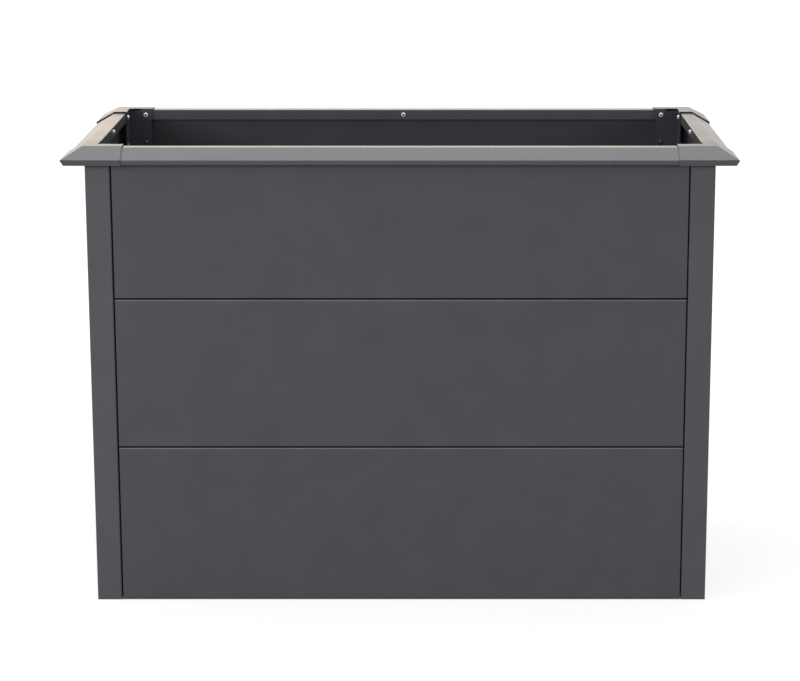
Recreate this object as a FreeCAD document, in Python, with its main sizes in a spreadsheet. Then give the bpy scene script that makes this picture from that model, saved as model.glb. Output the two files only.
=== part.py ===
import FreeCAD, Part
import math
import os
import Sketcher

# A standing-height raised garden bed of folded, powder-coated sheet steel.
# Four corner posts carry three courses of folded panels on each side. The rim is four
# folded rails, closed at the corners by mitred caps that sleeve over the rails' ends.
# Frame: origin under the middle of the bed, X along the long walls, Y to the back, Z up.

# Driving dimensions in millimetres: name, value, what it measures.
DIMENSIONS = (
    ("bed_length", 1014.0, "outside of the posts along the long walls"),
    ("bed_width", 451.0, "outside of the posts along the short walls"),
    ("lower_height", 262.0, "bottom course of panels"),
    ("middle_height", 248.2, "middle course of panels"),
    ("upper_height", 248.2, "top course of panels"),
    ("course_gap", 1.8, "slot between two courses of panels"),
    ("panel_depth", 14.5, "face of a panel to the back of its lips"),
    ("panel_sheet", 0.8, "sheet of the panels"),
    ("panel_lip", 14.0, "width of the lip round the back of a panel"),
    ("panel_bend", 1.2, "inner radius of a panel's bends"),
    ("panel_setback", 2.5, "face of a panel behind the face of a post"),
    ("panel_gap", 2.5, "slot between a post and the end of a panel"),
    ("post_face", 40.0, "visible width of each leg of a post"),
    ("post_flange", 17.0, "post flange that lies behind a panel's end lip"),
    ("post_sheet", 1.0, "sheet of the posts"),
    ("post_bend", 1.2, "inner radius of a post's bends"),
    ("angle_sheet", 1.0, "sheet of the inner corner angles"),
    ("angle_bend", 1.0, "inner radius of an inner angle's bend"),
    ("angle_lap", 1.0, "inner angle past the edge of the post flange"),
    ("angle_drop", 1.0, "inner angle short of the wall's top and bottom"),
    ("rim_sheet", 1.0, "sheet of the rails and the corner caps"),
    ("rim_bend", 0.6, "inner radius of the rim's bends"),
    ("rim_ridge", 1.7, "ridge of a rail outside the face of the posts"),
    ("rim_overhang", 29.5, "run of the rim's slope, ridge to arris"),
    ("rim_drop", 17.0, "fall of the rim's slope, ridge to arris"),
    ("lip_back", 4.0, "drip lip, inwards from the arris"),
    ("lip_drop", 7.2, "drip lip, down from the arris"),
    ("rim_flange", 17.5, "depth of the rim's inner flange"),
    ("rail_inset", 1.5, "end of a rail past the end of the panel below it"),
    ("rail_flange_gap", 1.0, "end of a rail's flange clear of the inner angle"),
    ("cap_clearance", 1.5, "corner cap clear of the rails inside it"),
    ("cap_lap", 3.5, "end of a cap's arm past the inner angle"),
    ("tab_width", 20.5, "fixing tab on each arm of a cap"),
    ("screw_edge", 6.0, "line of screws past the end of a panel"),
    ("screw_inset", 58.0, "lowest and highest panel screws from the wall's ends"),
    ("screw_shank", 4.0, "diameter of a screw's shank"),
    ("screw_length", 9.5, "length of a screw under its head"),
    ("head_diameter", 8.0, "diameter of a screw's pan head"),
    ("crown_diameter", 5.6, "diameter of the flat top of the pan head"),
    ("head_height", 2.6, "height of the pan head"),
    ("hole_clearance", 0.4, "screw holes wider than the shank"),
)
# Screws and their holes are small and many, so they have few flat sides.
HEAD_SIDES = 8
SHANK_SIDES = 6

doc = FreeCAD.newDocument("raised_garden_bed")
sheet = doc.addObject("Spreadsheet::Sheet", "Sizes")


class Size:
    """A length in millimetres with the sheet formula that gives it."""

    def __init__(self, value, formula):
        self.value = float(value)
        self.formula = formula

    def __add__(self, other):
        other = as_size(other)
        return Size(self.value + other.value, f"({self.formula} + {other.formula})")

    def __sub__(self, other):
        other = as_size(other)
        return Size(self.value - other.value, f"({self.formula} - {other.formula})")

    def __mul__(self, factor):
        return Size(self.value * factor, f"({self.formula} * {factor})")

    def __truediv__(self, divisor):
        return Size(self.value / divisor, f"({self.formula} / {divisor})")

    def __neg__(self):
        return Size(-self.value, f"(0 - {self.formula})")


def as_size(length):
    """Returns a plain number as a Size, and a Size as it is."""
    return length if isinstance(length, Size) else Size(length, str(float(length)))


def driving_size(name):
    """Returns the Size of one named cell of the sheet."""
    return Size(values[name], f"Sizes.{name}")


values = {}
for row, (name, value, meaning) in enumerate(DIMENSIONS, start=1):
    sheet.set(f"A{row}", name)
    sheet.set(f"B{row}", str(value))
    sheet.set(f"C{row}", meaning)
    sheet.setAlias(f"B{row}", name)
    values[name] = value
doc.recompute()

panel_depth = driving_size("panel_depth")
panel_sheet = driving_size("panel_sheet")
post_face = driving_size("post_face")
rim_sheet = driving_size("rim_sheet")
rim_bend = driving_size("rim_bend")

# Layers of a wall, measured inwards from the face of the posts.
panel_face = driving_size("panel_setback")
panel_back = panel_face + panel_depth
post_flange_back = panel_back + driving_size("post_sheet")
angle_face = post_flange_back + driving_size("angle_sheet")
tab_face = angle_face + rim_sheet
rail_flange_face = panel_back + rim_sheet

# Places along a wall, measured from the outside corner of the posts.
panel_end = post_face + driving_size("panel_gap")
post_flange_end = post_face + driving_size("post_flange")
angle_end = post_flange_end + driving_size("angle_lap")
rail_end = panel_end + driving_size("rail_inset")
rail_flange_end = angle_end + driving_size("rail_flange_gap")
cap_end = angle_end + driving_size("cap_lap")
tab_start = cap_end - driving_size("tab_width")
screw_line = panel_end + driving_size("screw_edge")

# Levels above the ground.
ground = as_size(0)
course_gap = driving_size("course_gap")
middle_bottom = driving_size("lower_height") + course_gap
upper_bottom = middle_bottom + driving_size("middle_height") + course_gap
wall_top = upper_bottom + driving_size("upper_height")
rail_top = wall_top + rim_sheet
cap_under = rail_top + driving_size("cap_clearance")
cap_top = cap_under + rim_sheet
flange_bottom = rail_top - driving_size("rim_flange")
rim_screw_level = rail_top - driving_size("rim_flange") / 2
low_screw_level = driving_size("screw_inset")
mid_screw_level = wall_top / 2
high_screw_level = wall_top - driving_size("screw_inset")

hole_diameter = driving_size("screw_shank") + driving_size("hole_clearance")


class Side:
    """One wall of the bed, with the corner at its left end seen from outside."""

    def __init__(self, name, corner, angle, span, reach):
        self.name = name
        self.corner = corner
        self.angle = angle
        self.half = span / 2
        self.reach = reach / 2

    def place(self, along, inwards):
        """Turns a place on this wall, from its middle and its outer face, into X and Y."""
        across = inwards - self.reach
        turned = {
            0: (along, across),
            90: (-across, along),
            180: (-along, -across),
            270: (across, -along),
        }
        return turned[self.angle]


bed_length = driving_size("bed_length")
bed_width = driving_size("bed_width")
SIDES = (
    Side("front", "front_left", 0, bed_length, bed_width),
    Side("right", "front_right", 90, bed_width, bed_length),
    Side("back", "back_right", 180, bed_length, bed_width),
    Side("left", "back_left", 270, bed_width, bed_length),
)


def stand(piece, side, along, inwards, level):
    """Turns a piece to face out of one wall and puts its origin at a place on that wall."""
    upright = FreeCAD.Vector(0, 0, 1)
    piece.Placement = FreeCAD.Placement(FreeCAD.Vector(), FreeCAD.Rotation(upright, side.angle))
    across, back = side.place(along, inwards)
    for axis, length in zip("xyz", (across, back, level)):
        piece.setExpression(f"Placement.Base.{axis}", length.formula)


def new_body(label):
    """Adds an empty body for one piece."""
    body = doc.addObject("PartDesign::Body", label)
    body.Label = label
    return body


def new_sketch(body, plane_role, distance=ground):
    """Adds a sketch on one of the body's planes, moved along the third axis by distance."""
    sketch = body.newObject("Sketcher::SketchObject", "Section")
    for feature in body.Origin.OriginFeatures:
        if feature.Role == plane_role:
            sketch.AttachmentSupport = [(feature, "")]
    sketch.MapMode = "FlatFace"
    # The XZ plane faces the other way along its axis.
    offset = -distance if plane_role == "XZ_Plane" else distance
    sketch.setExpression("AttachmentOffset.Base.z", offset.formula)
    return sketch


def bind(sketch, constraint, length):
    """Adds a constraint and gives it its length from the sheet."""
    index = sketch.addConstraint(constraint)
    sketch.setExpression(f"Constraints[{index}]", length.formula)


def fix_point(sketch, geometry, end, point):
    """Fixes one end or centre of a sketch line by its two distances from the sketch's origin."""
    origin = (-1, 1)
    bind(sketch, Sketcher.Constraint("DistanceX", *origin, geometry, end, point[0].value), point[0])
    bind(sketch, Sketcher.Constraint("DistanceY", *origin, geometry, end, point[1].value), point[1])


def draw_line(sketch, start, end, construction=False):
    """Draws one straight line between two plain vectors."""
    return sketch.addGeometry(Part.LineSegment(start, end), construction)


def as_vector(point):
    """Returns a point's present place in its sketch."""
    return FreeCAD.Vector(point[0].value, point[1].value, 0)


def draw_outline(sketch, points, closed=True, construction=False):
    """Draws straight lines through points whose places are bound to the sheet."""
    ends = points[1:] + points[:1] if closed else points[1:]
    lines = []
    for start, end in zip(points, ends):
        lines.append(draw_line(sketch, as_vector(start), as_vector(end), construction))
    for before, after in zip(lines, lines[1:]):
        sketch.addConstraint(Sketcher.Constraint("Coincident", before, 2, after, 1))
    if closed:
        sketch.addConstraint(Sketcher.Constraint("Coincident", lines[-1], 2, lines[0], 1))
    for line, point in zip(lines, points):
        fix_point(sketch, line, 1, point)
    if not closed:
        fix_point(sketch, lines[-1], 2, points[-1])
    return lines


def draw_rectangle(sketch, left, bottom, right, top):
    """Draws an upright rectangle."""
    draw_outline(sketch, [(left, bottom), (right, bottom), (right, top), (left, top)])


def draw_polygon(sketch, centre, diameter, sides):
    """Draws a regular polygon with its corners on a circle, the first one to the right."""
    corners = []
    for step in range(sides):
        turn = 2 * math.pi * step / sides
        across = diameter * round(math.cos(turn) / 2, 6)
        up = diameter * round(math.sin(turn) / 2, 6)
        corners.append((centre[0] + across, centre[1] + up))
    draw_outline(sketch, corners)


def right_of(direction):
    """Returns the direction square to another, to its right."""
    return FreeCAD.Vector(direction.y, -direction.x, 0)


def draw_face(sketch, guides, path, offset, inner_bend, outer_bend):
    """Draws one face of a folded sheet: lines beside the guide lines, joined by bends.

    The face lies offset to the right of the path, or to its left where offset is negative.
    A bend has the inner radius where the path turns towards the sheet's other face.
    Returns the first and last line of the face.
    """
    directions = [(end - start).normalize() for start, end in zip(path, path[1:])]
    beside = [right_of(direction) * offset.value for direction in directions]
    arcs = []
    cuts = [path[0] + beside[0]]
    for corner, before, after in zip(path[1:], directions, directions[1:]):
        turn = before.getAngle(after)
        right_turn = before.cross(after).z < 0
        radius = inner_bend if right_turn else outer_bend
        towards = right_of(before) if right_turn else -right_of(before)
        bisector = (right_of(before) + right_of(after)).normalize()
        corner = corner + bisector * (offset.value / math.cos(turn / 2))
        trim = radius.value * math.tan(turn / 2)
        start = corner - before * trim
        end = corner + after * trim
        centre = start + towards * radius.value
        outwards = ((start - centre) + (end - centre)).normalize()
        middle = centre + outwards * radius.value
        arc = sketch.addGeometry(Part.Arc(start, middle, end), False)
        ends = (2, 1) if right_turn else (1, 2)
        arcs.append((arc, ends, radius))
        cuts += [start, end]
    cuts.append(path[-1] + beside[-1])

    lines = []
    for guide, start, end in zip(guides, cuts[0::2], cuts[1::2]):
        line = draw_line(sketch, start, end)
        lines.append(line)
        if offset.value == 0:
            sketch.addConstraint(Sketcher.Constraint("PointOnObject", line, 1, guide))
            sketch.addConstraint(Sketcher.Constraint("PointOnObject", line, 2, guide))
        else:
            sketch.addConstraint(Sketcher.Constraint("Parallel", guide, line))
            distance = offset if offset.value > 0 else -offset
            bind(sketch, Sketcher.Constraint("Distance", line, 1, guide, distance.value), distance)
    for before, after, (arc, ends, radius) in zip(lines, lines[1:], arcs):
        sketch.addConstraint(Sketcher.Constraint("Tangent", before, 2, arc, ends[0]))
        sketch.addConstraint(Sketcher.Constraint("Tangent", after, 1, arc, ends[1]))
        bind(sketch, Sketcher.Constraint("Radius", arc, radius.value), radius)
    return lines[0], lines[-1]


def draw_folded_sheet(sketch, corners, near, thickness, bend):
    """Draws the closed section of a folded sheet beside a path of sharp corners.

    The sheet's faces lie near and near + thickness to the right of the path.
    """
    guides = draw_outline(sketch, corners, closed=False, construction=True)
    path = [as_vector(corner) for corner in corners]
    wide_bend = bend + thickness
    far = near + thickness
    near_first, near_last = draw_face(sketch, guides, path, near, wide_bend, bend)
    far_first, far_last = draw_face(sketch, guides, path, far, bend, wide_bend)
    ends = ((near_first, far_first, 1, guides[0]), (near_last, far_last, 2, guides[-1]))
    for near_line, far_line, end, guide in ends:
        start = sketch.getPoint(near_line, end)
        edge = draw_line(sketch, start, sketch.getPoint(far_line, end))
        sketch.addConstraint(Sketcher.Constraint("Coincident", edge, 1, near_line, end))
        sketch.addConstraint(Sketcher.Constraint("Coincident", edge, 2, far_line, end))
        sketch.addConstraint(Sketcher.Constraint("Perpendicular", edge, guide))
        sketch.addConstraint(Sketcher.Constraint("PointOnObject", guide, end, edge))


def add_pad(body, sketch, length, symmetric=False, reverse=False):
    """Gives a section its length along the sketch's normal."""
    pad = body.newObject("PartDesign::Pad", "Pad")
    pad.Profile = sketch
    pad.SideType = "Symmetric" if symmetric else "One side"
    pad.Reversed = reverse
    pad.setExpression("Length", length.formula)
    return pad


def add_pocket(body, sketch, depth, symmetric=False):
    """Cuts a sketch out of a piece, against the sketch's normal or to both sides of it."""
    pocket = body.newObject("PartDesign::Pocket", "Pocket")
    pocket.Profile = sketch
    pocket.SideType = "Symmetric" if symmetric else "One side"
    pocket.setExpression("Length", depth.formula)
    return pocket


def drill(body, plane_role, middle, thickness, centres):
    """Drills screw holes through a sheet whose middle lies at a distance from a plane."""
    sketch = new_sketch(body, plane_role, middle)
    for centre in centres:
        draw_polygon(sketch, centre, hole_diameter, SHANK_SIDES)
    return add_pocket(body, sketch, thickness * 2, symmetric=True)


# Corner posts: outer angles with their edges folded back to flanges behind the panels.
def make_post(side):
    body = new_body(f"corner_post_{side.corner}")
    post_sheet = driving_size("post_sheet")
    legs = new_sketch(body, "XY_Plane")
    edge = (post_face, panel_back)
    corners = [edge, (post_face, ground), (ground, ground), (ground, post_face), edge[::-1]]
    draw_folded_sheet(legs, corners, ground, post_sheet, driving_size("post_bend"))
    add_pad(body, legs, wall_top)

    flanges = new_sketch(body, "XY_Plane")
    flange_start = post_face - post_sheet
    draw_rectangle(flanges, flange_start, panel_back, post_flange_end, post_flange_back)
    draw_rectangle(flanges, panel_back, flange_start, post_flange_back, post_flange_end)
    add_pad(body, flanges, wall_top)
    drill_corner(body, panel_back + post_sheet / 2, post_sheet)
    stand(body, side, -side.half, ground, ground)
    return body


def drill_corner(body, middle, thickness):
    """Drills the rows of screw holes down both legs of a corner piece."""
    levels = (low_screw_level, mid_screw_level, high_screw_level, rim_screw_level)
    centres = [(screw_line, level) for level in levels]
    for plane_role in ("XZ_Plane", "YZ_Plane"):
        drill(body, plane_role, middle, thickness, centres)


# Inner corner angles: they clamp the post flanges and the panels' end lips together.
def make_angle(side):
    body = new_body(f"inner_angle_{side.corner}")
    drop = driving_size("angle_drop")
    section = new_sketch(body, "XY_Plane", drop)
    corners = [(angle_end, post_flange_back), (post_flange_back, post_flange_back)]
    corners.append((post_flange_back, angle_end))
    angle_sheet = driving_size("angle_sheet")
    draw_folded_sheet(section, corners, ground, angle_sheet, driving_size("angle_bend"))
    add_pad(body, section, wall_top - drop * 2)
    drill_corner(body, post_flange_back + angle_sheet / 2, angle_sheet)
    stand(body, side, -side.half, ground, ground)
    return body


# Wall panels: a face with edges folded back and lips turned in behind, closed at both ends.
def make_panel(side, course, bottom, height, screw_level, carries_rim):
    body = new_body(f"{side.name}_panel_{course}")
    half = side.half - panel_end
    lip = driving_size("panel_lip")
    bend = driving_size("panel_bend")

    section = new_sketch(body, "YZ_Plane")
    lower_fold = [(panel_depth, lip), (panel_depth, ground), (ground, ground)]
    upper_fold = [(ground, height), (panel_depth, height), (panel_depth, height - lip)]
    draw_folded_sheet(section, lower_fold + upper_fold, ground, panel_sheet, bend)
    add_pad(body, section, half * 2, symmetric=True)

    # The folded ends stop short of the long bends, which leaves a small relief at each corner.
    relief = bend + panel_sheet
    ends = new_sketch(body, "XY_Plane", relief)
    end_inside = half - panel_sheet
    lip_front = panel_depth - panel_sheet
    fold = [(half, ground), (half, panel_depth), (half - lip, panel_depth)]
    fold += [(half - lip, lip_front), (end_inside, lip_front), (end_inside, ground)]
    draw_outline(ends, fold)
    draw_outline(ends, [(-along, depth) for along, depth in fold])
    add_pad(body, ends, height - relief * 2)

    along = side.half - screw_line
    level = screw_level - bottom
    centres = [(-along, level), (along, level)]
    if carries_rim:
        rim_level = rim_screw_level - bottom
        centres += [(-along, rim_level), (ground, rim_level), (along, rim_level)]
    drill(body, "XZ_Plane", panel_depth - panel_sheet / 2, panel_sheet, centres)
    stand(body, side, ground, panel_face, bottom)
    return body


# Rim rails: a flat top on the wall, a slope that overhangs it, a drip lip and an inner flange.
def rail_slope(top_end):
    """Returns the corners of the rim's outside, from the drip lip to a place on its flat top."""
    ridge = -driving_size("rim_ridge")
    arris = ridge - driving_size("rim_overhang")
    arris_level = rail_top - driving_size("rim_drop")
    lip_edge = (arris + driving_size("lip_back"), arris_level - driving_size("lip_drop"))
    return [lip_edge, (arris, arris_level), (ridge, rail_top), (top_end, rail_top)]


def make_rail(side):
    body = new_body(f"rim_rail_{side.name}")
    roof = new_sketch(body, "YZ_Plane")
    draw_folded_sheet(roof, rail_slope(panel_back - rim_bend), ground, rim_sheet, rim_bend)
    add_pad(body, roof, (side.half - rail_end) * 2, symmetric=True)

    flange = new_sketch(body, "YZ_Plane")
    corners = [(panel_face, rail_top), (rail_flange_face, rail_top)]
    corners.append((rail_flange_face, flange_bottom))
    draw_folded_sheet(flange, corners, ground, rim_sheet, rim_bend)
    add_pad(body, flange, (side.half - rail_flange_end) * 2, symmetric=True)

    drill(body, "XZ_Plane", panel_back + rim_sheet / 2, rim_sheet, [(ground, rim_screw_level)])
    stand(body, side, ground, ground, ground)
    return body


# Corner caps: mitred sleeves over the rails' ends, screwed to the walls by two tabs.
def make_cap(side):
    body = new_body(f"rim_cap_{side.corner}")
    clearance = driving_size("cap_clearance")
    bend_line = tab_face - rim_sheet - rim_bend

    roof = new_sketch(body, "YZ_Plane", cap_end)
    corners = rail_slope(bend_line)
    draw_folded_sheet(roof, corners, -(clearance + rim_sheet), rim_sheet, rim_bend)
    mitre = new_sketch(body, "XY_Plane", cap_top)
    draw_outline(mitre, [(cap_end, ground), (ground, ground), (ground, cap_end)], closed=False)
    sleeve = body.newObject("PartDesign::AdditivePipe", "Sleeve")
    sleeve.Profile = roof
    sleeve.Spine = mitre
    sleeve.Transition = "Right corner"

    ledge = new_sketch(body, "XY_Plane", cap_under)
    inner_corner = (tab_face, tab_face)
    arm = [(tab_start, panel_face), (tab_start, tab_face)]
    other_arm = [point[::-1] for point in reversed(arm)]
    draw_outline(ledge, [(panel_face, panel_face), *arm, inner_corner, *other_arm])
    add_pad(body, ledge, rim_sheet)

    tab = [(panel_face, cap_top), (tab_face, cap_top), (tab_face, flange_bottom)]
    tab_width = driving_size("tab_width")
    tab_middle = angle_face + rim_sheet / 2
    for plane_role, reverse in (("YZ_Plane", False), ("XZ_Plane", True)):
        section = new_sketch(body, plane_role, tab_start)
        draw_folded_sheet(section, tab, ground, rim_sheet, rim_bend)
        add_pad(body, section, tab_width, reverse=reverse)
    for plane_role in ("XZ_Plane", "YZ_Plane"):
        drill(body, plane_role, tab_middle, rim_sheet, [(screw_line, rim_screw_level)])
    stand(body, side, -side.half, ground, ground)
    return body


# Screws: pan heads on the inside of the bed, with the shank pointing out along -Y.
def make_screw():
    body = new_body("screw")
    middle = (ground, ground)
    foot = new_sketch(body, "XZ_Plane")
    draw_polygon(foot, middle, driving_size("head_diameter"), HEAD_SIDES)
    crown = new_sketch(body, "XZ_Plane", driving_size("head_height"))
    draw_polygon(crown, middle, driving_size("crown_diameter"), HEAD_SIDES)
    head = body.newObject("PartDesign::AdditiveLoft", "Head")
    head.Profile = foot
    head.Sections = [crown]
    head.Ruled = True
    shank = new_sketch(body, "XZ_Plane")
    draw_polygon(shank, middle, driving_size("screw_shank"), SHANK_SIDES)
    add_pad(body, shank, driving_size("screw_length"))
    return body


def make_screw_group(label, screw, places):
    """Sets copies of the screw at places given as wall, place along it, depth and level."""
    group = doc.addObject("Part::Compound", label)
    group.Label = label
    copies = []
    for side, along, depth, level in places:
        copy = doc.addObject("App::Link", f"{label}_screw")
        copy.LinkedObject = screw
        stand(copy, side, along, depth, level)
        copies.append(copy)
    group.Links = copies
    return group


courses = (
    ("lower", ground, driving_size("lower_height"), low_screw_level, False),
    ("middle", middle_bottom, driving_size("middle_height"), mid_screw_level, False),
    ("upper", upper_bottom, driving_size("upper_height"), high_screw_level, True),
)
pieces = []
for side in SIDES:
    pieces.append(make_post(side))
    pieces.append(make_angle(side))
    for course in courses:
        pieces.append(make_panel(side, *course))
    pieces.append(make_rail(side))
    pieces.append(make_cap(side))

screw = make_screw()
rail_places = []
cap_places = []
panel_places = []
for side in SIDES:
    rail_places.append((side, ground, rail_flange_face, rim_screw_level))
    along = side.half - screw_line
    for place in (-along, along):
        cap_places.append((side, place, tab_face, rim_screw_level))
        for level in (low_screw_level, mid_screw_level, high_screw_level):
            panel_places.append((side, place, angle_face, level))
pieces.append(make_screw_group("rail_screws", screw, rail_places))
pieces.append(make_screw_group("cap_screws", screw, cap_places))
pieces.append(make_screw_group("panel_screws", screw, panel_places))
doc.recompute()

for item in doc.Objects:
    if "Invalid" in item.State or "Error" in item.State:
        raise RuntimeError(f"{item.Label} failed: {item.State}")
for piece in pieces:
    if piece.Shape.isNull() or not piece.Shape.isValid() or not piece.Shape.Solids:
        raise RuntimeError(f"{piece.Label} has no sound shape")

os.makedirs("parts", exist_ok=True)
for piece in pieces:
    piece.Shape.exportStep(f"parts/{piece.Label}.step")
    print(piece.Label, len(piece.Shape.Solids), "solids", round(piece.Shape.Volume), "mm3")
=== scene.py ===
import math

import bmesh
import bpy
from mathutils import Matrix, Vector


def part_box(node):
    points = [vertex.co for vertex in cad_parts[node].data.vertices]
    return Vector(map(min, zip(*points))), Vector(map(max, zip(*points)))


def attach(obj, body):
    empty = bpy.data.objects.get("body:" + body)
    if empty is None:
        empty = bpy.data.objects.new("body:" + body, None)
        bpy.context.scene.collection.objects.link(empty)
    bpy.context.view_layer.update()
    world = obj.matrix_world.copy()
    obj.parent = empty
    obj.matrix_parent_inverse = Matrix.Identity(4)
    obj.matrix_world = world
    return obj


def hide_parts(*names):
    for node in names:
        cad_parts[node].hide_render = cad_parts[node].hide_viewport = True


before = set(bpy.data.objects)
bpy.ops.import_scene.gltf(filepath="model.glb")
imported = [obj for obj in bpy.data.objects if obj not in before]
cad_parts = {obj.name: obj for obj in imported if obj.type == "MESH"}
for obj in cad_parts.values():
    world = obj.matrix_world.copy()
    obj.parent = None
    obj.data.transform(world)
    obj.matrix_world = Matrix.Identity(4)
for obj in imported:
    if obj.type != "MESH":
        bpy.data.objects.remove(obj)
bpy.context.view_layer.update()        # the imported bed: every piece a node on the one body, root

# Corner posts: angles of 1 mm galvanised steel sheet with their edges folded back behind the
# panels. They are sprayed with anthracite polyester powder, which the oven melts to one skin.
CORNERS = ("front_left", "front_right", "back_right", "back_left")
POST_GREY = "#535357"
POST_ROUGHNESS = (0.42, 0.48)
SATIN_GLOSS = 0.25


def to_linear(hex_colour):
    """Turns an sRGB hex colour into the linear colour that a shader socket takes."""
    channels = []
    for start in (1, 3, 5):
        value = int(hex_colour[start:start + 2], 16) / 255
        channels.append(value / 12.92 if value <= 0.04045 else ((value + 0.055) / 1.055) ** 2.4)
    return (*channels, 1.0)


def add_node(tree, kind, inputs, **settings):
    """Adds one node, sets its properties, and fills its inputs with values or links."""
    made = tree.nodes.new(kind)
    for name, value in settings.items():
        setattr(made, name, value)
    for socket, value in inputs.items():
        if isinstance(value, bpy.types.NodeSocket):
            tree.links.new(value, made.inputs[socket])
        else:
            made.inputs[socket].default_value = value
    return made


def new_material(name):
    """Makes an empty node material and returns it with its tree."""
    material = bpy.data.materials.new(name)
    material.use_nodes = True
    material.node_tree.nodes.clear()
    return material, material.node_tree


# Baked polyester powder on steel: a dark satin plastic skin. The eye gets a soft, wide sheen that
# turns bright at a grazing angle, a faint cloudiness in the spray, and orange peel. It can carry a
# painted highlight on upper bends, and painted shade on lower bends and on faces that look into the bed.
MM = 0.001
POLYESTER_IOR = 1.5
NOISE_RANGE = (0.3, 0.7)  # nearly all the values of a noise pattern lie between these
CLOUD_MM = 60.0
CLOUD_DETAIL = 3.0
CLOUD_DEPTH = 0.05
FLECK_MM = 3.0            # the real flecks are 0.3 mm across, drawn ten times as coarse to show
FLECK_DETAIL = 2.0
FLECK_DEPTH = 0.05
SHEEN_MM = 55.0
SHEEN_DETAIL = 4.0
PEEL_MM = 4.0             # the real ripple is about 1 mm long, drawn coarser to show
PEEL_DETAIL = 1.0
PEEL_HEIGHT_MM = 0.008
HIGHLIGHT_FALL = 3.0            # how fast the painted highlight fades where a bend turns back from the face
HIGHLIGHT_PEAK = HIGHLIGHT_FALL ** HIGHLIGHT_FALL / (HIGHLIGHT_FALL + 1) ** (HIGHLIGHT_FALL + 1)  # that line's formula at its most
UNDER_TILT = -0.4         # a normal that points down by this much is on an underside
INWARDS = -0.01           # a face looks into the bed where its place times its normal is less
LEVEL = (1.0, 1.0, 0.0)   # leaves the height out of a place


def patches(tree, place, size_mm, detail, least, most):
    """Returns a value that wanders between two ends in soft patches of one real size."""
    noise = add_node(
        tree, "ShaderNodeTexNoise", {"Vector": place, "Scale": 1 / (size_mm * MM), "Detail": detail}
    )
    low, high = NOISE_RANGE
    spread = add_node(
        tree,
        "ShaderNodeMapRange",
        {"Value": noise.outputs["Fac"], "From Min": low, "From Max": high, "To Min": least, "To Max": most},
    )
    return spread.outputs["Result"]


def powder_coat(name, grey, roughness, gloss, bend_highlight=0.0, inside_shade=1.0, underside_shade=1.0):
    """Makes the coat in one grey, with its range of roughness and its gloss.

    The upper bends are painted paler by bend_highlight: a painted highlight.
    Faces that look into the bed get painted shade: inside_shade is their tone as a share of the tone
    outside, and underside_shade is the same for the lower bends, as painted shade.
    """
    material, tree = new_material(name)
    place = add_node(tree, "ShaderNodeTexCoord", {}).outputs["Object"]
    facing = add_node(tree, "ShaderNodeNewGeometry", {}).outputs["Normal"]
    tilt = add_node(tree, "ShaderNodeSeparateXYZ", {"Vector": facing}).outputs["Z"]

    # The painted highlight lies where a bend leaves the upright face, and is gone on a flat top.
    upwards = add_node(tree, "ShaderNodeMath", {0: tilt, 1: 0.0}, operation="MAXIMUM").outputs["Value"]
    flat_share = add_node(
        tree, "ShaderNodeMath", {0: upwards, 1: upwards}, operation="MULTIPLY"
    ).outputs["Value"]
    upright_share = add_node(
        tree, "ShaderNodeMath", {0: 1.0, 1: flat_share}, operation="SUBTRACT"
    ).outputs["Value"]
    front_share = add_node(
        tree, "ShaderNodeMath", {0: upright_share, 1: HIGHLIGHT_FALL}, operation="POWER"
    ).outputs["Value"]
    on_bend = add_node(
        tree, "ShaderNodeMath", {0: flat_share, 1: front_share}, operation="MULTIPLY"
    ).outputs["Value"]
    painted_bend_highlight = add_node(
        tree, "ShaderNodeMath", {0: on_bend, 1: bend_highlight / HIGHLIGHT_PEAK, 2: 1.0}, operation="MULTIPLY_ADD"
    ).outputs["Value"]

    # Painted shade lies on faces that look towards the middle of the bed, and on bends that look downwards.
    level_place = add_node(
        tree, "ShaderNodeVectorMath", {0: place, 1: LEVEL}, operation="MULTIPLY"
    ).outputs["Vector"]
    outwards = add_node(
        tree, "ShaderNodeVectorMath", {0: level_place, 1: facing}, operation="DOT_PRODUCT"
    ).outputs["Value"]
    inside = add_node(
        tree, "ShaderNodeMath", {0: outwards, 1: INWARDS}, operation="LESS_THAN"
    ).outputs["Value"]
    painted_inside_shade = add_node(
        tree, "ShaderNodeMapRange", {"Value": inside, "To Min": 1.0, "To Max": inside_shade}
    ).outputs["Result"]
    painted_underside_shade = add_node(
        tree,
        "ShaderNodeMapRange",
        {"Value": tilt, "From Min": 0.0, "From Max": UNDER_TILT, "To Min": 1.0, "To Max": underside_shade},
    ).outputs["Result"]

    tone = patches(tree, place, CLOUD_MM, CLOUD_DETAIL, 1 - CLOUD_DEPTH, 1 + CLOUD_DEPTH)
    flecks = patches(tree, place, FLECK_MM, FLECK_DETAIL, 1 - FLECK_DEPTH, 1 + FLECK_DEPTH)
    for share in (flecks, painted_bend_highlight, painted_inside_shade, painted_underside_shade):
        tone = add_node(tree, "ShaderNodeMath", {0: tone, 1: share}, operation="MULTIPLY").outputs["Value"]
    colour = add_node(tree, "ShaderNodeHueSaturation", {"Color": to_linear(grey), "Value": tone})
    peel = add_node(
        tree, "ShaderNodeTexNoise", {"Vector": place, "Scale": 1 / (PEEL_MM * MM), "Detail": PEEL_DETAIL}
    )
    ripple = add_node(
        tree, "ShaderNodeBump", {"Height": peel.outputs["Fac"], "Distance": PEEL_HEIGHT_MM * MM}
    )
    skin = add_node(
        tree,
        "ShaderNodeBsdfPrincipled",
        {"Base Color": colour.outputs["Color"],
         "Roughness": patches(tree, place, SHEEN_MM, SHEEN_DETAIL, *roughness),
         "Normal": ripple.outputs["Normal"], "IOR": POLYESTER_IOR, "Specular IOR Level": gloss},
    )
    add_node(tree, "ShaderNodeOutputMaterial", {"Surface": skin.outputs["BSDF"]})
    return material


def dress(node_name, material):
    """Gives a solid of the frame its finish."""
    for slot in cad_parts[node_name].material_slots:
        slot.material = material


post_coat = powder_coat("powder_coat_posts", POST_GREY, POST_ROUGHNESS, SATIN_GLOSS)
for corner in CORNERS:
    dress(f"corner_post_{corner}", post_coat)
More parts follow.
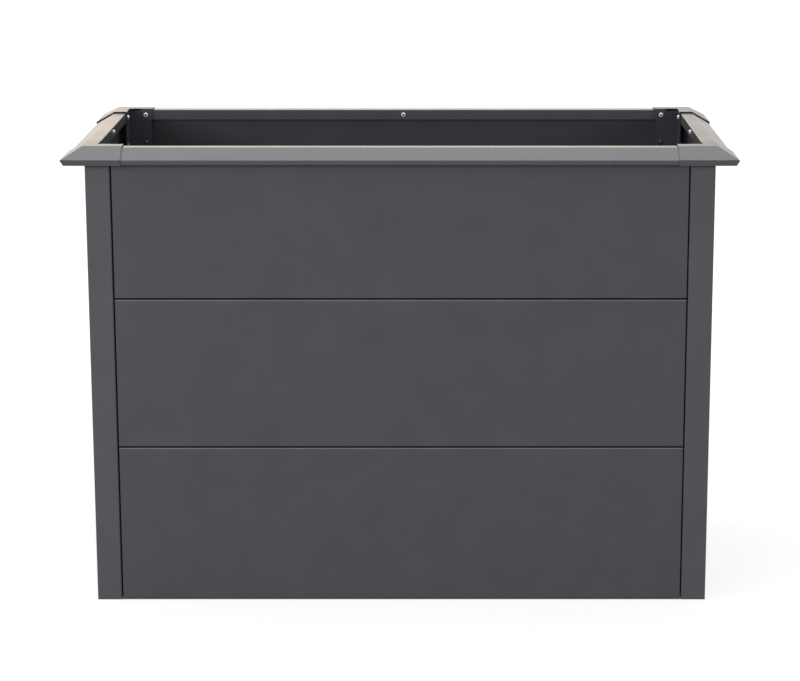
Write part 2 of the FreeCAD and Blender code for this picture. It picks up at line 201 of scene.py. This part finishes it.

# Inner corner angles: plain angles of 1 mm sheet that clamp the post flanges and the panels' end
# lips together from the inside. They lie against the soil, and their grey is darker as painted shade.
ANGLE_SHADED_GREY = "#3b3b42"
ANGLE_ROUGHNESS = (0.44, 0.50)
angle_coat = powder_coat("powder_coat_angles", ANGLE_SHADED_GREY, ANGLE_ROUGHNESS, SATIN_GLOSS)
for corner in CORNERS:
    dress(f"inner_angle_{corner}", angle_coat)

# Wall panels: 0.8 mm sheet with all its edges folded back, three courses to a wall, clamped by
# their end lips behind the posts. Their coat is a touch darker than that of the posts, with a painted
# highlight along the upper bends, and painted shade inside and on the lower bends.
WALLS = ("front", "right", "back", "left")
COURSES = ("lower", "middle", "upper")
PANEL_GREY = "#4b4c51"
PANEL_ROUGHNESS = (0.44, 0.50)
# The upper bends are painted paler: a painted highlight.
PANEL_BEND_HIGHLIGHT = 2.0
# Painted shade: the inside faces and the lower bends are darker.
PANEL_INSIDE_SHADE = 0.66
PANEL_UNDERSIDE_SHADE = 0.2
panel_coat = powder_coat(
    "powder_coat_panels", PANEL_GREY, PANEL_ROUGHNESS, SATIN_GLOSS,
    bend_highlight=PANEL_BEND_HIGHLIGHT, inside_shade=PANEL_INSIDE_SHADE, underside_shade=PANEL_UNDERSIDE_SHADE,
)
for wall in WALLS:
    for course in COURSES:
        dress(f"{wall}_panel_{course}", panel_coat)

# Rim rails: 1 mm sheet folded to a flat top, a sloped overhang with a drip lip, and a flange that
# is screwed to the inside of the wall. Their coat is smoother and glossier than that of the walls,
# so the flat tops catch the light from behind.
RIM_GREY = "#48484b"
RIM_ROUGHNESS = (0.28, 0.32)
RIM_GLOSS = 0.46
rim_coat = powder_coat("powder_coat_rim", RIM_GREY, RIM_ROUGHNESS, RIM_GLOSS)
for wall in WALLS:
    dress(f"rim_rail_{wall}", rim_coat)

# Corner caps: mitred sleeves of the same sheet that slip over the rails' ends and close the rim,
# each held by screws through two tabs folded down inside the bed. Their coat is a little darker
# than that of the rails and mirrors a little more.
CAP_GREY = "#3c3c40"
CAP_ROUGHNESS = (0.30, 0.34)
CAP_GLOSS = 0.54
cap_coat = powder_coat("powder_coat_caps", CAP_GREY, CAP_ROUGHNESS, CAP_GLOSS)
for corner in CORNERS:
    dress(f"rim_cap_{corner}", cap_coat)

# Screws: pan-head sheet-metal screws with a six-lobe socket and a rolled flange under the head,
# bright zinc on the rim and blackened on the inner angles. They are driven from inside the bed.
HEAD_MM = 2.6
FLANGE_RADIUS_MM = 4.0
FLANGE_MM = 0.7
PAN_RADIUS_MM = 3.4
CROWN_RADIUS_MM = 2.2
PAN_STEPS = 6
EDGE_MM = 0.15
SOCKET_RADIUS_MM = 1.7
SOCKET_DEPTH_MM = 1.7
LOBES = 6
LOBE_MM = 0.22
ROOT_RADIUS_MM = 1.55
THREAD_RADIUS_MM = 2.0
THREAD_PITCH_MM = 1.4
CREST_SHARE = 0.4
TIP_MM = 2.5
TIP_SHARE = 0.12
AROUND = 36
TURN_RINGS = 6
SPIN_STEP = math.radians(137.5)  # each screw stops at another turn
SHARP_ANGLE = math.radians(40.0)
SAME_POINT = 1e-6
PLACE_DIGITS = 4                 # places are sorted to a tenth of a millimetre
HEAD_FINISH = 0
# the slot of the painted shade in the socket
RECESS_FINISH = 1
SOCKET_WALL = 0                  # the socket's wall is the row of faces between the first two rings


def screw_boxes(node_name):
    """Returns the box of each single screw of a node, as its lowest and highest corner."""
    mesh = bmesh.new()
    mesh.from_mesh(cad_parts[node_name].data)
    bmesh.ops.remove_doubles(mesh, verts=mesh.verts, dist=SAME_POINT)
    waiting = set(mesh.verts)
    boxes = []
    while waiting:
        front = [waiting.pop()]
        island = []
        while front:
            vertex = front.pop()
            island.append(vertex.co.copy())
            for edge in vertex.link_edges:
                other = edge.other_vert(vertex)
                if other in waiting:
                    waiting.remove(other)
                    front.append(other)
        low = Vector(min(point[axis] for point in island) for axis in range(3))
        high = Vector(max(point[axis] for point in island) for axis in range(3))
        boxes.append((low, high))
    mesh.free()
    return sorted(boxes, key=lambda box: tuple(round(value, PLACE_DIGITS) for value in box[0]))


def screw_rings(shank_mm):
    """Returns the rings of one screw, from the socket over the head to the tip, in millimetres.

    A ring is a height above the seat and a function from an angle to a radius.
    """
    def socket_ring(growth):
        return lambda angle: SOCKET_RADIUS_MM + growth + LOBE_MM * math.cos(LOBES * angle)

    def round_ring(radius):
        return lambda angle: radius

    def thread_ring(depth):
        to_tip = min(1.0, (shank_mm - depth) / TIP_MM)

        def radius_at(angle):
            turn = (depth / THREAD_PITCH_MM + angle / (2 * math.pi)) % 1.0
            crest = max(0.0, 1 - abs(2 * turn - 1) / CREST_SHARE)
            radius = ROOT_RADIUS_MM + (THREAD_RADIUS_MM - ROOT_RADIUS_MM) * crest
            return radius * (TIP_SHARE + (1 - TIP_SHARE) * to_tip)

        return radius_at

    rings = [
        (HEAD_MM - SOCKET_DEPTH_MM, socket_ring(0.0)),
        (HEAD_MM - EDGE_MM, socket_ring(0.0)),
        (HEAD_MM, socket_ring(EDGE_MM)),
    ]
    for step in range(PAN_STEPS + 1):
        lean = math.pi / 2 * step / PAN_STEPS
        radius = CROWN_RADIUS_MM + (PAN_RADIUS_MM - CROWN_RADIUS_MM) * math.sin(lean)
        rings.append((FLANGE_MM + (HEAD_MM - FLANGE_MM) * math.cos(lean), round_ring(radius)))
    rings.append((FLANGE_MM, round_ring(FLANGE_RADIUS_MM - EDGE_MM)))
    rings.append((FLANGE_MM - EDGE_MM, round_ring(FLANGE_RADIUS_MM)))
    rings.append((0.0, round_ring(FLANGE_RADIUS_MM)))
    steps = round(shank_mm / THREAD_PITCH_MM * TURN_RINGS)
    for step in range(steps + 1):
        depth = shank_mm * step / steps
        rings.append((-depth, thread_ring(depth)))
    return rings


def add_screw(mesh, low, high, spin):
    """Adds one screw to a mesh, in the place of one plain screw of the frame."""
    middle = (low + high) / 2
    size = high - low
    axis = 0 if size.x > size.y else 1
    inwards = Vector((0, 0, 0))
    inwards[axis] = -math.copysign(1, middle[axis])
    seat = middle + inwards * (size[axis] / 2 - HEAD_MM * MM)
    shank_mm = size[axis] / MM - HEAD_MM
    sideways = Vector((0, 0, 1)).cross(inwards)
    turn = Matrix((sideways, (0, 0, 1), inwards)).transposed()

    loops = []
    for height, radius_at in screw_rings(shank_mm):
        loop = []
        for step in range(AROUND):
            angle = 2 * math.pi * step / AROUND
            radius = radius_at(angle)
            flat = Vector((radius * math.cos(angle + spin), radius * math.sin(angle + spin), height))
            loop.append(mesh.verts.new(seat + turn @ (flat * MM)))
        loops.append(loop)
    for row, (upper, lower) in enumerate(zip(loops, loops[1:])):
        for step in range(AROUND):
            ahead = (step + 1) % AROUND
            face = mesh.faces.new((upper[step], lower[step], lower[ahead], upper[ahead]))
            # The socket's wall and floor take the painted shade.
            face.material_index = RECESS_FINISH if row == SOCKET_WALL else HEAD_FINISH
    mesh.faces.new(loops[0]).material_index = RECESS_FINISH
    mesh.faces.new(reversed(loops[-1]))


# Zinc-plated and blackened steel: hard, fine-grained skins on the screws. The eye gets a broad
# highlight, almost white on the zinc, with darker handling marks. The socket's recess is painted
# dark as painted shade.
PLATING_MM = 1.2
PLATING_DETAIL = 3.0
PLATING_TONE = (0.82, 1.05)
ZINC = "#eef0f2"
ZINC_METALLIC = 0.35
ZINC_ROUGHNESS = (0.34, 0.46)
BLACKENED = "#5e5f64"
BLACKENED_METALLIC = 0.7
BLACKENED_ROUGHNESS = (0.16, 0.26)
# Painted shade in the socket's recess.
RECESS_SHADE_GREY = "#232325"
RECESS_METALLIC = 0.4
RECESS_ROUGHNESS = (0.5, 0.6)


def plated_steel(name, colour, metallic, roughness):
    """Makes plated or blackened screw steel, with its range of roughness."""
    material, tree = new_material(name)
    place = add_node(tree, "ShaderNodeTexCoord", {}).outputs["Object"]
    shade = add_node(
        tree,
        "ShaderNodeHueSaturation",
        {"Color": to_linear(colour),
         "Value": patches(tree, place, PLATING_MM, PLATING_DETAIL, *PLATING_TONE)},
    )
    skin = add_node(
        tree,
        "ShaderNodeBsdfPrincipled",
        {"Base Color": shade.outputs["Color"],
         "Roughness": patches(tree, place, PLATING_MM, PLATING_DETAIL, *roughness),
         "Metallic": metallic},
    )
    add_node(tree, "ShaderNodeOutputMaterial", {"Surface": skin.outputs["BSDF"]})
    return material


painted_shade_steel = plated_steel("recess_painted_shade", RECESS_SHADE_GREY, RECESS_METALLIC, RECESS_ROUGHNESS)
zinc = plated_steel("zinc_plated_steel", ZINC, ZINC_METALLIC, ZINC_ROUGHNESS)
blackened = plated_steel("blackened_steel", BLACKENED, BLACKENED_METALLIC, BLACKENED_ROUGHNESS)


def make_screws(name, node_name, head_steel):
    """Makes all the screws of one node as one piece that takes the node's place."""
    mesh = bmesh.new()
    for count, (low, high) in enumerate(screw_boxes(node_name)):
        add_screw(mesh, low, high, count * SPIN_STEP)
    bmesh.ops.recalc_face_normals(mesh, faces=mesh.faces)
    for face in mesh.faces:
        face.smooth = True
    data = bpy.data.meshes.new(name)
    mesh.to_mesh(data)
    mesh.free()
    data.set_sharp_from_angle(angle=SHARP_ANGLE)
    # The second slot holds the painted shade of the recess.
    for finish in (head_steel, painted_shade_steel):
        data.materials.append(finish)
    piece = bpy.data.objects.new(name, data)
    bpy.context.scene.collection.objects.link(piece)
    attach(piece, "root")
    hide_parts(node_name)


make_screws("rail_pan_screws", "rail_screws", zinc)
make_screws("cap_pan_screws", "cap_screws", zinc)
make_screws("panel_pan_screws", "panel_screws", blackened)

# Studio floor: matt paper, white to the eye and in reflections, so that only the soft shadow of
# the bed shows on it. It throws back as little light as mid grey paper, and inside the walls of
# the bed it lies in the shade.
FLOOR_SIZE = 60.0
FLOOR_PAPER = "#8c8c8c"
NEAR_LIFT = 0.82          # the white of the paper near the bed, to which the lamps add
FAR_LIFT = 1.0
NEAR_REACH = 0.8
FAR_REACH = 2.6
INSIDE_SHARE = 0.12       # what is left of that white inside the walls
INSIDE_EDGE = 0.999       # where it starts to fade, as a share of the way from the middle to a wall


def seen_rays(tree):
    """Returns 1 for rays that show a surface, straight, mirrored or through glass, and else 0."""
    rays = add_node(tree, "ShaderNodeLightPath", {})
    seen = rays.outputs["Is Camera Ray"]
    for kind in ("Is Glossy Ray", "Is Transmission Ray"):
        seen = add_node(
            tree, "ShaderNodeMath", {0: seen, 1: rays.outputs[kind]}, operation="MAXIMUM"
        ).outputs["Value"]
    return seen


floor_mesh = bpy.data.meshes.new("floor")
reach = FLOOR_SIZE / 2
floor_mesh.from_pydata(
    [(-reach, -reach, 0), (reach, -reach, 0), (reach, reach, 0), (-reach, reach, 0)], [], [(0, 1, 2, 3)]
)
floor = bpy.data.objects.new("floor", floor_mesh)
bpy.context.scene.collection.objects.link(floor)
paper, paper_tree = new_material("white_paper")
paper_place = add_node(paper_tree, "ShaderNodeTexCoord", {}).outputs["Object"]
away = add_node(paper_tree, "ShaderNodeVectorMath", {0: paper_place}, operation="LENGTH")
lift = add_node(
    paper_tree,
    "ShaderNodeMapRange",
    {"Value": away.outputs["Value"], "From Min": NEAR_REACH, "From Max": FAR_REACH,
     "To Min": NEAR_LIFT, "To Max": FAR_LIFT},
    interpolation_type="SMOOTHSTEP",
)
post_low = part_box("corner_post_front_left")[0]
half_bed = (-post_low[0], -post_low[1], 1.0)
from_middle = add_node(paper_tree, "ShaderNodeVectorMath", {0: paper_place}, operation="ABSOLUTE")
of_half = add_node(
    paper_tree, "ShaderNodeVectorMath", {0: from_middle.outputs["Vector"], 1: half_bed}, operation="DIVIDE"
)
sides = add_node(paper_tree, "ShaderNodeSeparateXYZ", {"Vector": of_half.outputs["Vector"]})
to_wall = add_node(
    paper_tree, "ShaderNodeMath", {0: sides.outputs["X"], 1: sides.outputs["Y"]}, operation="MAXIMUM"
)
open_floor = add_node(
    paper_tree,
    "ShaderNodeMapRange",
    {"Value": to_wall.outputs["Value"], "From Min": INSIDE_EDGE, "From Max": 1.0,
     "To Min": INSIDE_SHARE, "To Max": 1.0},
)
strength = lift.outputs["Result"]
for share in (open_floor.outputs["Result"], seen_rays(paper_tree)):
    strength = add_node(
        paper_tree, "ShaderNodeMath", {0: strength, 1: share}, operation="MULTIPLY"
    ).outputs["Value"]
matt = add_node(paper_tree, "ShaderNodeBsdfDiffuse", {"Color": to_linear(FLOOR_PAPER)})
glow = add_node(paper_tree, "ShaderNodeEmission", {"Strength": strength})
both = add_node(paper_tree, "ShaderNodeAddShader", {0: matt.outputs["BSDF"], 1: glow.outputs["Emission"]})
add_node(paper_tree, "ShaderNodeOutputMaterial", {"Surface": both.outputs["Shader"]})
floor_mesh.materials.append(paper)

# Studio air: the room is white to the camera and in reflections, and a plain soft grey as a
# source of light.
STUDIO_WHITE = "#ffffff"
WORLD_LIGHT = 0.35
world = bpy.data.worlds.new("studio")
bpy.context.scene.world = world
world.use_nodes = True
air = world.node_tree
air.nodes.clear()
air_strength = add_node(
    air, "ShaderNodeMapRange", {"Value": seen_rays(air), "To Min": WORLD_LIGHT, "To Max": 1.0}
)
backdrop = add_node(
    air,
    "ShaderNodeBackground",
    {"Color": to_linear(STUDIO_WHITE), "Strength": air_strength.outputs["Result"]},
)
add_node(air, "ShaderNodeOutputWorld", {"Surface": backdrop.outputs["Background"]})

# Studio lamps: a wide soft box overhead, a long flat one on each side in front, the left one the
# stronger, and a row of three warm ones behind the bed, weaker to the right. The front ones throw
# the thin dark line under the drip lip, and the flat tops of the rim reflect the warm ones.
WARM = "#ffe8c2"
LAMPS = (
    ("soft_box_overhead", (-0.2, 0.5, 3.2), (3.2, 2.6), STUDIO_WHITE, 64.0),
    ("soft_box_left", (-2.4, -2.8, 1.44), (3.0, 0.32), STUDIO_WHITE, 77.0),
    ("soft_box_right", (2.6, -2.6, 1.4), (2.6, 0.32), STUDIO_WHITE, 29.0),
    ("soft_box_behind_left", (-1.35, 4.2, 1.4), (1.9, 1.2), WARM, 10.4),
    ("soft_box_behind_middle", (0.25, 4.2, 1.4), (1.3, 1.2), WARM, 5.8),
    ("soft_box_behind_right", (1.65, 4.2, 1.4), (1.5, 1.2), WARM, 3.2),
)
UNMIRRORED = ("soft_box_left", "soft_box_right")  # else the rim burns out to white seen from behind
LAMP_AIM = Vector((0.0, 0.0, 0.6))
for lamp_name, stand, (lamp_width, lamp_height), tint, watts in LAMPS:
    lamp_data = bpy.data.lights.new(lamp_name, "AREA")
    lamp_data.shape = "RECTANGLE"
    lamp_data.size = lamp_width
    lamp_data.size_y = lamp_height
    lamp_data.color = to_linear(tint)[:3]
    lamp_data.energy = watts
    lamp = bpy.data.objects.new(lamp_name, lamp_data)
    lamp.location = stand
    lamp.rotation_euler = (LAMP_AIM - Vector(stand)).to_track_quat("-Z", "Y").to_euler()
    lamp.visible_camera = False
    lamp.visible_glossy = lamp_name not in UNMIRRORED
    bpy.context.scene.collection.objects.link(lamp)

# Camera: a long lens about 0.6 m above the rim, four metres in front of the bed's middle and
# tipped down to it. A small shift brings the bed to the middle of the frame.
SENSOR_MM = 36.0
LENS_MM = 107.1
CAMERA_PLACE = (0.055, -4.0, 1.352)
LEVEL_TURN = 90.0         # an unturned camera looks straight down
CAMERA_TILT = 12.36
SIDE_SHIFT = -0.043
UP_SHIFT = -0.06
camera_data = bpy.data.cameras.new("camera")
camera_data.sensor_width = SENSOR_MM
camera_data.lens = LENS_MM
camera_data.shift_x = SIDE_SHIFT
camera_data.shift_y = UP_SHIFT
camera = bpy.data.objects.new("camera", camera_data)
camera.location = CAMERA_PLACE
camera.rotation_euler = (math.radians(LEVEL_TURN - CAMERA_TILT), 0, 0)
bpy.context.scene.collection.objects.link(camera)
bpy.context.scene.camera = camera
bpy.context.scene.view_settings.view_transform = "Standard"
